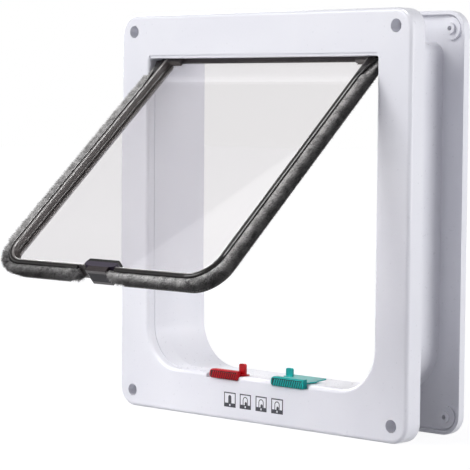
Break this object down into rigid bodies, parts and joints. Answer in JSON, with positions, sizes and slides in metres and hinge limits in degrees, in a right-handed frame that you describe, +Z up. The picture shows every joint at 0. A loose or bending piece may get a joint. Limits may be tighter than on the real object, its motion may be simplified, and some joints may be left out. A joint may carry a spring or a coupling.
{
  "type": "cat flap",
  "caption": "Lockable pet door for a door panel: swinging clear flap edged with pile, front frame, telescoping rear frame and sliding locks.",
  "frame": {"origin": "centre of the four screw holes on the front face", "axes": "+X across the flap to the right seen from the front, +Y into the door, +Z up"},
  "size_m": [0.235, 0.1911, 0.25],
  "materials": {
    "white_frame": "satin gloss moulding",
    "clear_flap": "polished clear moulding, faint smoke tint",
    "rod": "black",
    "pile_backing": "woven tape",
    "pile": "standing pile",
    "smoked_plastic": "dark smoke tint",
    "magnet": "sintered",
    "red_plastic": "moulded",
    "teal_plastic": "moulded"
  },
  "bodies": {
    "frame": {"front_frame": "white_frame", "sill_magnet": "magnet"},
    "rear": {"rear_frame": "white_frame"},
    "flap": {"flap_panel": "clear_flap", "hinge_rod": "rod", "left_pile_backing": "pile_backing", "left_pile": "pile", "right_pile_backing": "pile_backing", "right_pile": "pile", "magnet_holder": "smoked_plastic", "flap_magnet": "magnet"},
    "exit_lock": {"exit_slider": "red_plastic"},
    "entry_lock": {"entry_slider": "teal_plastic"}
  },
  "joints": [
    {"name": "flap_hinge", "type": "hinge", "parent": "frame", "child": "flap", "pos_m": [0, 0.013, 0.0965], "axis": [-1, 0, 0], "range_deg": [-118.5, 9]},
    {"name": "rear_frame_slide", "type": "slide", "parent": "frame", "child": "rear", "axis": [0, 1, 0], "range_m": [-0.002, 0.005]},
    {"name": "exit_lock_slide", "type": "slide", "parent": "frame", "child": "exit_lock", "axis": [1, 0, 0], "range_m": [-0.0035, 0]},
    {"name": "entry_lock_slide", "type": "slide", "parent": "frame", "child": "entry_lock", "axis": [1, 0, 0], "range_m": [0, 0.0035]}
  ]
}
